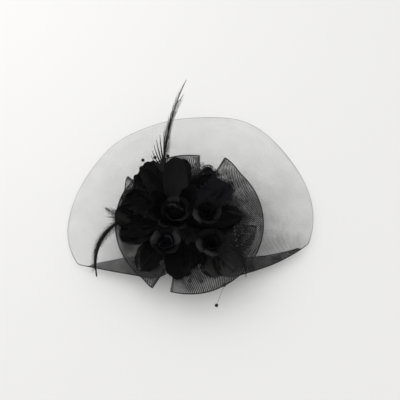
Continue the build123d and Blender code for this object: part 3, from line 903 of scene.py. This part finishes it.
def make_outer_petals(cloths, soft, lace, bead):
    """Each outer petal has a second, smaller layer under it, and some have loose threads or lace."""
    centre, threads, trim = middle("flower_core"), Shape(), Shape()
    for k, style in OUTER_STYLES.items():
        node = f"outer_petal_{k}"
        wider, turn = NARROW.get(k, (1.25, 0))
        lie = widened(node, centre, wider, turn, 1.06 if k == 1 else 1.0)
        petal = Petal(*lie, bend=0.35, seed=k, **style)
        sheet_petal(f"{node}_cloth", petal, cloths.get(k, soft), "satin", [node])
        lie = widened(node, centre, 1.15, radians(-9 if k % 2 or k == 10 else 11), 0.93, 1.3)
        sheet_petal(f"{node}_under", Petal(*lie, bend=0.25, seed=30 + k, **style), soft, "satin")
        if k in (1, 7, 8, 9, 10):
            fray(threads, petal, *((150, 7 * MM) if k == 1 else (60, 4 * MM)), k)
        if k in (2, 3, 8):
            trim_with_lace(trim, petal, 34, k)
    threads.make("petal_frays", [soft], None, "satin")
    trim.make("petal_lace_trim", [lace, bead], None, "lace")


def make_middle_petals(shiny, dull, soft):
    styles = {
        1: (shiny, 1.12, dict(bend=0.35, cup=0.55, crumple=0.2, sharp=0.42, widest=0.5, base=0.45)),
        2: (soft, 1.3, dict(lip=1.6, ribs=5, rib=0.5, scallops=5, scallop=1.6)),
        3: (soft, 1.3, dict(lip=2.0, ruffle=1.2, scallops=4, scallop=1.4)),
        4: (dull, 1.3, dict(lip=2.4, ruffle=0.8)),
        5: (soft, 1.3, dict(lip=2.4, ruffle=0.8)),
        6: (soft, 1.3, dict(lip=1.6, ribs=4, rib=0.6, scallops=4, scallop=1.6)),
    }
    for k, (cloth, wider, style) in styles.items():
        node = f"middle_petal_{k}"
        lie = widened(node, middle("flower_core"), wider)
        petal = Petal(*lie, seed=20 + k, **{"bend": 0.8, "cup": 0.9, **style})
        sheet_petal(f"{node}_cloth", petal, cloth, "satin", [node])


def make_inner_petals(glossy_painted_highlight_satin, dull):
    centre = middle("flower_core")
    for k in range(1, 6):
        node, shape = f"inner_petal_{k}", Shape()
        root, tip, _ = petal_lie(points_of(node), centre)
        facing = atan2(tip.y - centre.y, tip.x - centre.x)
        upper = abs(facing - radians(100)) < 0.6
        span, lip = (1.25, 2.6 * MM) if upper else (1.3 + 0.12 * k, (1.0 + 0.7 * (k % 3)) * MM)
        reach = hypot(tip.x - centre.x, tip.y - centre.y) + (1.5 * (k % 2) - 0.5) * MM - lip
        heights = (root.z, tip.z - (0 if upper else (2.0 + 1.6 * (k % 3)) * MM))
        cup_petal(shape, centre, facing, span, (9.6 * MM, reach), heights, lip, 40 + k, spiral=1.4 * MM)
        # The upper petal takes the shinier satin, whose lighter colour is a painted highlight on its
        # rolled lip.
        cloth = glossy_painted_highlight_satin if upper else dull
        piece = shape.make(f"{node}_cloth", [cloth], [node], "velvet", thick=0.3)


def make_flower_middle(painted_highlight_satin, dull, soft):
    """The core that the petals stand on, and the ruffles and standing petals at its centre."""
    centre, radius, shape = middle("flower_core"), half_width("flower_core"), Shape()
    (*_, bottom), (*_, core_top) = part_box("flower_core")

    def point(level, a):
        z = bottom + (core_top - bottom) * level
        r = radius * (0.8 - 0.25 * level + 0.05 * sin(12 * a + 4 * level))
        return beside(centre, r, a, z), (a * r, z)

    shape.surface(shares(12), turns(72), point, wrap=True, caps=-1)
    shape.make("flower_core_cloth", [soft], ["flower_core"], "velvet")

    shape, foot, top = Shape(), core_top - 9 * MM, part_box("flower_centre")[1][2]
    ruffle(shape, centre, 2.2 * MM, (0.4, 5.4), (foot, top - 2.5 * MM), 4, 0.9 * MM, 51)
    ruffle(shape, centre, 4.9 * MM, (2.0, 5.9), (foot, top - 1.2 * MM), 9, 0.9 * MM, 52)
    ruffle(shape, centre, 7.6 * MM, (1.0, 6.0), (foot, top - 3.0 * MM), 12, 1.0 * MM, 53)
    cup_petal(shape, centre, 1.75, 1.5, (7.0 * MM, 7.6 * MM), (foot, top), 1.4 * MM, 54)
    # The next petal, off to one side of the middle, wears a much lighter satin: a painted highlight for
    # the pale bar across the flower.
    aside, reach = centre + Vector((-6.5, -18.5, 0)) * MM, (23 * MM, 24 * MM)
    cup_petal(shape, aside, radians(76), 0.85, reach, (foot, top + 1 * MM), 1.8 * MM, 55, 1, 0)
    shape.make("flower_centre_cloth", [dull, painted_highlight_satin], ["flower_centre"], "velvet", thick=0.3)


def make_bloom(which, bud, glossy_painted_highlight_satin, dull, seed, facings, lips, windings, flare):
    """A small rose. facings are the directions, in degrees, of its shinier petals, which wear a lighter
    satin as a painted highlight; lips are in mm how far those petals roll their edges back and how far
    the others do; the last two shape the rolled bud."""
    (*_, bottom), (*_, top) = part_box(f"{which}_bud")
    centre, radius, shape = middle(f"{which}_bud"), half_width(f"{which}_bud"), Shape()
    rolled_bud(shape, centre, bottom, top - 1 * MM, radius - 1.6 * MM, windings, flare * MM, seed)
    for k in range(3):
        heights = (bottom + 3 * MM, top + (0.4 - 1.0 * k) * MM)
        reach, facing = (radius - 1.0 * MM, radius + 0.2 * MM), seed + 2.6 * k
        cup_petal(shape, centre, facing, 2.0, reach, heights, 1.4 * MM, seed + k, spiral=1.3 * MM)
    shape.make(f"{which}_bud_cloth", [bud], [f"{which}_bud"], "satin", thick=0.3)

    shape = Shape()
    for k, points in enumerate(islands(f"{which}_petals")):
        root, tip, _ = petal_lie(points, centre)
        facing = atan2(tip.y - centre.y, tip.x - centre.x)
        # Petals facing these ways take the shinier satin, whose lighter colour is a painted highlight.
        shiny_painted_highlight = min(abs(remainder(facing - radians(a), tau)) for a in facings) < 0.5
        lip = (lips[0] if shiny_painted_highlight else lips[1]) * MM
        reach = hypot(tip.x - centre.x, tip.y - centre.y) + (2.4 if shiny_painted_highlight else 0.8) * MM - lip
        heights = (root.z - 1 * MM, tip.z - (0 if shiny_painted_highlight else 1.5 + 1.4 * (k % 3)) * MM)
        span = 1.35 if shiny_painted_highlight else 1.5 + 0.15 * (k % 3)
        reach = (radius + 0.6 * MM, max(reach, radius + 1.4 * MM))
        cup_petal(shape, centre, facing, span, reach, heights, lip, seed + 9 * k, int(shiny_painted_highlight), 1.2 * MM)
    shape.make(f"{which}_petals_cloth", [dull, glossy_painted_highlight_satin], [f"{which}_petals"], "satin", thick=0.3)


def make_lower_petals(soft, dull, sheer):
    centre = middle("flower_core")
    styles = {
        "lower_petal_1": (soft, "velvet", (1.4, 0.05), dict(scallops=5, scallop=2.4, sharp=0.32)),
        "lower_petal_2": (soft, "velvet", (1.2, 0.02, 0.8), dict(scallops=4, scallop=1.5, sharp=0.4)),
        "organza_petal_1": (sheer, "organza", (1.2,), dict(sharp=0.4)),
        "organza_petal_2": (
            sheer, "organza", (1.7, -0.1, 0.88, 3), dict(ribs=7, rib=0.8, sharp=0.3, widest=0.75)
        ),
    }
    threads = Shape()
    for k, (node, (cloth, slot, lie, style)) in enumerate(styles.items()):
        petal = Petal(*widened(node, centre, *lie), bend=0.2, cup=0.4, ruffle=1.4, seed=60 + k, **style)
        sheet_petal(f"{node}_cloth", petal, cloth, slot, [node])
        if node == "organza_petal_1":
            over = Petal(*widened(node, centre, 1.05, 0.06, 0.92, -1.2), bend=0.25, cup=0.5, seed=66)
            sheet_petal("lower_petal_3_cloth", over, soft, slot)
        if node == "organza_petal_2":
            lie = widened(node, centre, 1.25, -0.38, 0.64, 3)
            under = Petal(*lie, bend=0.2, cup=0.3, ruffle=1.6, seed=67)
            sheet_petal("organza_petal_3_cloth", under, sheer, slot)
        fray(threads, petal, 30, 3 * MM, 60 + k)
    threads.make("lower_petal_frays", [dull], None, "organza")


# ---------- lace, beads and feathers


def make_lace(material, pearl):
    """Scraps of lace: a net of fine loops with small knots, curled a little at the edge."""
    rng, shape = random.Random(11), Shape()
    pitch = 2.3 * MM
    for points in islands("lace_tufts"):
        low, high = points.min(axis=0), points.max(axis=0)
        cx, cy, cz = (low + high) / 2
        rx, ry, _ = (high - low) / 2
        for i in range(int(2 * rx / pitch) + 1):
            for j in range(int(2 * ry / pitch) + 1):
                x = cx - rx + pitch * (i + 0.5 * (j % 2))
                y = cy - ry + pitch * j
                away = hypot((x - cx) / rx, (y - cy) / ry)
                if away > 1 or rng.random() < 0.12:
                    continue
                z = cz + 3.5 * MM * away**3 + rng.uniform(0, 0.8) * MM
                size = rng.uniform(0.85, 1.2) * MM
                loop = [(cos(a), sin(a), 0.4 * sin(a + i)) for a in turns(9)]
                loop = [(x + size * p, y + size * q, z + size * h) for p, q, h in loop]
                shape.tube(loop, 0.27 * MM, 5, closed=True)
                if rng.random() < 0.4:
                    shape.ball((x, y, z + 0.3 * MM), 0.8 * MM, 5, 8, slot=1)
    shape.make("lace_tufts_cloth", [material, pearl], ["lace_tufts"], "lace")


def clear_of_petals(place, flower):
    """How far a bead at the lower edge of the flower has to be moved to lie beyond the lowest petal."""
    if place.y > -55 * MM or abs(place.x - flower.x) > 30 * MM:
        return Vector((0, 0, 0))
    outwards, upwards = 8, 9
    return (place - flower).normalized() * outwards * MM + upwards * MM * UP


def make_beads(bead, wire):
    shape, flower = Shape(), middle("flower_core")
    for points in islands("beads"):
        low, high = points.min(axis=0), points.max(axis=0)
        place = Vector((low + high) / 2)
        shape.ball(place + clear_of_petals(place, flower), 1.12 * float(high[0] - low[0]) / 2, 8, 12)
    shape.make("beads_faceted", [bead], ["beads"], "bead", smooth=False)
    shape = Shape()
    for points in islands("bead_wires"):
        root, _, tip = spine(points, flower)
        mid = (root + tip) / 2 + (tip - root).length * 0.05 * UP
        tip = tip + (tip - root).normalized() * 1.0 * MM + clear_of_petals(tip, flower)
        shape.tube(curve_points(root, mid, tip, 12), 0.16 * MM, 6)
    shape.make("bead_wires_fine", [wire], ["bead_wires"], "wire")


def barb(shape, start, ahead, side, face, length, lean, curl, width, fall):
    """One barb: a narrow blade that leaves the quill at an angle (lean) and bends towards it (curl)."""
    rows, place, steps = [], start.copy(), 7
    for i in range(steps + 1):
        share = i / steps
        turn = lean * (1 - curl * share)
        along = ahead * cos(turn) + side * sin(turn)
        if i:
            place = place + along * length / steps + face * fall * share
        half = width / 2 * (1 - 0.8 * share)
        across = along.cross(face).normalized() * half
        rows.append([(place - across, (share * length, 0)), (place + across, (share * length, width))])
    shape.grid(rows)


def feather_line(node):
    """60 points along a feather's quill, and the way its flat side faces."""
    root, mid, tip = spine(points_of(node), middle("flower_core"))
    face = (tip - root).cross(UP.cross(tip - root)).normalized()
    return curve_points(root, mid, tip, 60), face


def add_barbs(shape, line, face, sign, count, longest, seed, lean=0.55, width=0.4, curl=(0.2, 0.7)):
    """Barbs along one side of a quill; longest gives their length in mm at a share of the way along."""
    rng = random.Random(seed)
    for k in range(count):
        share = (k + rng.random()) / count
        at = share * (len(line) - 2)
        i = int(at)
        length = longest(share) * rng.uniform(0.75, 1.1) * MM
        if length < 0.8 * MM:
            continue
        ahead = (line[i + 1] - line[i]).normalized()
        barb(
            shape, line[i].lerp(line[i + 1], at - i), ahead, face.cross(ahead) * sign, face, length,
            lean * rng.uniform(0.8, 1.25), rng.uniform(*curl), rng.uniform(0.7, 1.2) * width * MM,
            rng.uniform(-0.25, 0.35) * MM,
        )


def tuft(seed, length, lean, count):
    """Barbs that stand out on both sides, short at the tip, with some longer ones near the root."""
    sets = []
    for draw, sign in ((seed, 1), (-seed, -1)):
        sets.append((0, 56, sign, count, lambda s: length * (1 - 0.85 * s), draw, lean, 0.45))
        sets.append((0, 26, sign, 14, lambda s: 1.3 * length, draw + 50, 0.6 * lean, 0.5))
    return sets


# quill's half thickness at the root and at the tip in mm, then its sets of barbs: the part of the quill,
# of 60 points, that they stand on, and what add_barbs takes after face
FEATHERS = {
    "feather_tall": (0.75, 0.25, [
        (8, 36, 1, 22, lambda s: 27 - 9 * s, 2, 0.2, 1.0, (0.2, 0.8)),
        (26, 60, 1, 150, lambda s: bell(s, 11, 0.45, 0.4), 3, 0.42, 0.22),
        (2, 46, -1, 190, lambda s: 14 + 4 * sin(9 * s), 4, 0.42, 0.2),
        (10, 36, -1, 18, lambda s: 12, 5, 0.34, 0.5),
    ]),
    "feather_curl_left": (1.3, 0.2, [
        (0, 60, 1, 260, lambda s: bell(s, 8, 0.35, 0.5), 6, 0.45, 0.6),
        (0, 60, -1, 260, lambda s: bell(s, 9, 0.5, 0.5), 7, 0.42, 0.6),
        (0, 36, 1, 130, lambda s: 16 - 9 * s, 8, 0.9, 0.3),
        (0, 54, -1, 190, lambda s: 13 - 3 * s, 9, 0.62, 0.24),
    ]),
    "feather_short_left": (0.6, 0.15, tuft(10, 15, 0.8, 60)),
    "feather_tip_right": (0.9, 0.225, tuft(11, 8, 0.35, 70)),
    "feather_lower_right": (1.2, 0.3, tuft(12, 10, 0.4, 120)),
}


def make_feathers(material):
    """Each feather is a quill with its own kind of barbs; the tall one also has long loose spikes."""
    for node, (thick, thin, sets) in FEATHERS.items():
        shape = Shape()
        line, face = feather_line(node)
        shape.tube(line, lambda s: (thick - (thick - thin) * s) * MM)
        for k in range(6 if node == "feather_tall" else 0):
            ahead = (line[k + 1] - line[k]).normalized()
            side, spike = face.cross(ahead), (26 + 3.5 * k) * MM
            barb(shape, line[k], ahead, side, face, spike, 0.95 - 0.17 * k, 0.55, 2.6 * MM, 0.15 * MM)
        for start, end, *barbs in sets:
            add_barbs(shape, line[start:end], face, *barbs)
        shape.make(f"{node}_barbs", [material], [node], "feather")


# ---------- stage


def area_light(name, place, target, size, power, colour=(1, 1, 1)):
    data = bpy.data.lights.new(name, "AREA")
    data.shape, data.size, data.energy, data.color = "DISK", size, power, colour
    aim(put(name, data), place, Vector(target) - Vector(place))


def make_sky(bright_side, low, high):
    """White light from all round, much stronger from one side, so that black cloth shows its shape."""
    world = bpy.data.worlds.new("world")
    world.use_nodes = True
    n = Nodes(world.node_tree)
    background = n.tree.nodes["Background"].inputs
    where = n.add("ShaderNodeTexCoord").outputs["Generated"]
    facing = n.vector("DOT_PRODUCT", where, Vector(bright_side).normalized())
    n.feed(background["Strength"], n.ramp(facing, -0.2, 1.0, low, high))
    n.feed(background["Color"], (1, 1, 1, 1))
    bpy.context.scene.world = world


def make_stage():
    n = Cloth("floor", (0.885, 0.88, 0.875), 0.5)
    half, z = 6.0, FLOOR - 0.2 * MM
    mesh = bpy.data.meshes.new("floor")
    corners = [(-half, -half, z), (half, -half, z), (half, half, z), (-half, half, z)]
    mesh.from_pydata(corners, [], [(0, 1, 2, 3)])
    mesh.materials.append(n.material)
    floor = put("floor", mesh)
    make_sky((-0.45, 0.6, 0.65), 0.62, 1.06)
    area_light("key", (-0.5, 0.6, 0.7), (-0.05, 0.05, 0), 0.8, 1.9, (1, 0.995, 0.985))
    area_light("fill", (1.0, -0.8, 1.0), (0, 0, 0), 1.2, 0.6)


def main():
    bpy.context.scene.view_settings.view_transform = "Standard"
    make_camera()
    make_stage()
    finish_hardware()
    cord = cord_material()
    soft, dull = velvet_material(), satin("satin_dull", roughness=0.55, gloss=0.09)
    shiny = satin("satin", 0.0015, 0.004, 0.36, 0.11)
    blue = satin("satin_blue", 0.002, 0.006, 0.45, 0.1, (0.8, 0.85, 1.5))
    bead = bead_material()

    domed_disc("felt_backing", felt_material(), "felt", 0.35 * MM)
    domed_disc("base_disc", sinamay_material(), "buckram", 0.05 * MM)
    make_stitches(cord)
    make_binding(dull)

    make_veil(net("net", 0.058 * MM, 0.01), net("net_doubled", 0.42 * MM, 0.22), cord)

    crin, crin_hem = braid("crin", 0.8 * MM, 0.12), braid("crin_hem", 1.1 * MM, 0.4)
    cords = Shape()
    flares = {"crin_top": (0, 0), "crin_left": (7 * MM, 3.5 * MM), "crin_right": (0, 6 * MM)}
    for node, flare in flares.items():
        for line, radius in zip(make_crin(node, [crin, crin_hem], flares=flare), (0.65, 0.3, 0.3)):
            cords.tube(line, radius * MM)
    make_crin("crin_tab", [braid("crin_pleated", 0.6 * MM, 0.2, 0.014), crin_hem], 15, 2.2 * MM)
    cords.make("crin_selvage", [cord], ["crin_edge_cords"], "cord")

    # A shinier satin with a lighter colour: a painted highlight for the petals that catch the light.
    glossy_painted_highlight_satin = satin("satin_glossy_painted_highlight", 0.004, 0.010, 0.32, 0.3)
    # The bud's satin is bluish, its own colour, and lighter than the dull satin: a painted highlight.
    bud = satin("satin_bud", 0.003, 0.012, 0.25, 0.4, (0.85, 0.8, 1.5))
    pearl = pearl_material()
    # Much lighter satin: a painted highlight for the pale bar across the middle of the flower.
    painted_highlight_satin = satin("satin_painted_highlight", 0.02, 0.05, 0.3, 0.4)
    make_outer_petals({2: blue, 3: blue, 4: dull, 6: dull}, soft, cord, bead)
    make_middle_petals(shiny, dull, soft)
    make_inner_petals(glossy_painted_highlight_satin, dull)
    make_flower_middle(painted_highlight_satin, dull, soft)
    make_bloom("bloom_left", bud, glossy_painted_highlight_satin, dull, 70, (155, 25), (6.0, 1.6), 2.2, 1.8)
    make_bloom("bloom_right", shiny, glossy_painted_highlight_satin, dull, 80, (200, 262), (3.6, 2.0), 3.0, 2.6)
    make_bloom("bloom_top", shiny, glossy_painted_highlight_satin, dull, 90, (212,), (3.0, 2.0), 1.6, 2.4)
    make_lower_petals(soft, dull, organza_material())
    make_lace(cord, pearl)
    make_beads(bead, cord)
    make_feathers(feather_material())


main()
